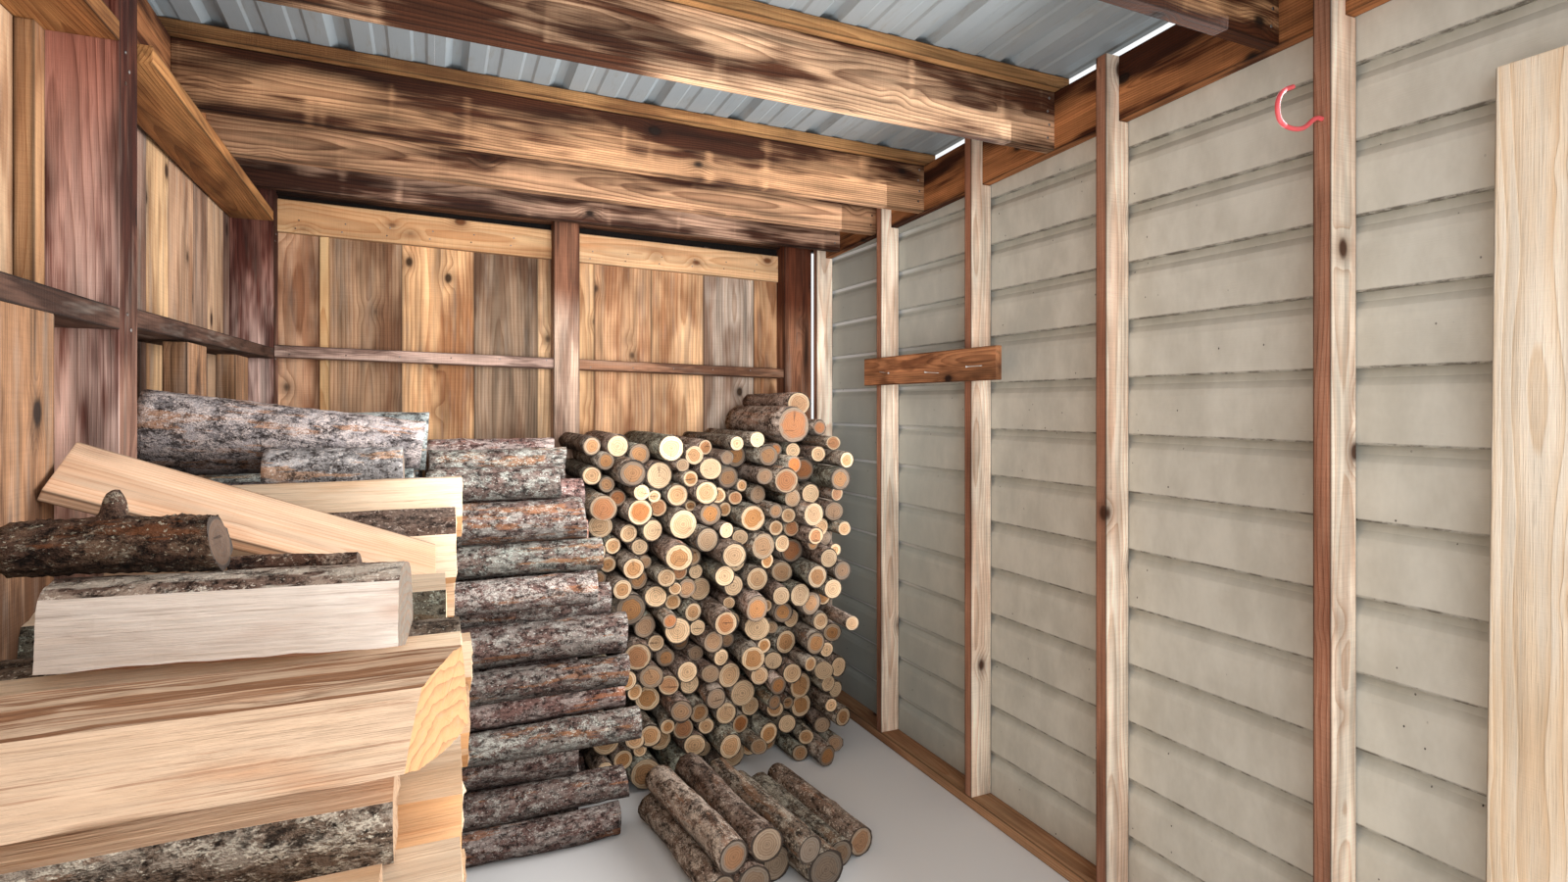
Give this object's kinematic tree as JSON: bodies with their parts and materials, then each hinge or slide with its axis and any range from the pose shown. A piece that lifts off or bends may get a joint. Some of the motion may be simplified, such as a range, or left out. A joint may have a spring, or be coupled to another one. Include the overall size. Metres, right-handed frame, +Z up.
{
  "type": "lean-to log store with stacked firewood",
  "caption": "Open-fronted timber lean-to store against a sided wall, with posts, board walls, rafters, a ribbed sheet roof and stacked firewood.",
  "frame": {"origin": "on the ground, at the middle of the roof and party wall in plan", "axes": "+X to the sided wall, +Y from the open front to the back wall, +Z up"},
  "size_m": [2.8582, 3.4419, 2.6023],
  "materials": {
    "post_timber": "rough reddish brown sawn timber",
    "stud_timber": "pale sawn softwood with brown bark edges",
    "strip_timber": "sawn softwood, browned",
    "rafter_timber": "sawn softwood with scorched dark patches",
    "header_timber": "warm dark brown sawn softwood",
    "rail_timber": "dark weathered sawn softwood",
    "girt_timber": "orange brown sawn softwood",
    "trim_pine": "new pale yellow pine",
    "wall_boards": "rough sawn boards, gold to grey brown",
    "roof_metal": "pale grey ribbed sheet, satin",
    "siding": "pale grey green lap siding, dusty",
    "party_wall": "plain pale wall",
    "log_wood": "bark with sawn pale ends",
    "split_wood": "split pale wood with bark on one side",
    "hook_plastic": "red plastic coated steel"
  },
  "bodies": {
    "root": {"back_boards": "wall_boards", "back_header": "rafter_timber", "back_post_centre": "post_timber", "back_post_right": "post_timber", "back_rail_left": "rail_timber", "back_rail_right": "rail_timber", "back_trim_left": "trim_pine", "back_trim_right": "trim_pine", "cross_board": "rail_timber", "floor_logs": "log_wood", "joint_batten": "trim_pine", "left_batten": "wall_boards", "left_boards_front": "wall_boards", "left_boards_rear": "wall_boards", "left_girt_front": "girt_timber", "left_girt_rear": "girt_timber", "left_header": "rafter_timber", "left_liner_front": "wall_boards", "left_liner_rear": "wall_boards", "left_post_front": "post_timber", "left_post_middle": "post_timber", "left_post_rear": "post_timber", "left_rail_front": "rail_timber", "left_rail_rear": "rail_timber", "log_stack_corner": "log_wood", "log_stack_cross": "log_wood", "log_stack_ends": "log_wood", "loose_board": "split_wood", "loose_logs": "log_wood", "party_wall": "party_wall", "rafter_1": "rafter_timber", "rafter_2": "rafter_timber", "rafter_3": "rafter_timber", "rafter_4": "rafter_timber", "rafter_5": "rafter_timber", "rafter_6": "rafter_timber", "rafter_strip_1": "strip_timber", "rafter_strip_2": "strip_timber", "rafter_strip_3": "strip_timber", "rafter_strip_4": "strip_timber", "rafter_strip_5": "strip_timber", "rafter_strip_6": "strip_timber", "rafter_strip_7": "strip_timber", "right_header": "header_timber", "right_sill": "stud_timber", "roof_sheet_1": "roof_metal", "roof_sheet_2": "roof_metal", "roof_sheet_3": "roof_metal", "siding": "siding", "split_pile": "split_wood", "split_pile_top": "split_wood", "wall_hook": "hook_plastic", "wall_plank": "trim_pine", "wall_stud_1": "stud_timber", "wall_stud_2": "stud_timber", "wall_stud_3": "stud_timber", "wall_stud_4": "stud_timber", "wall_stud_5": "stud_timber", "wall_stud_6": "stud_timber"}
  },
  "joints": []
}
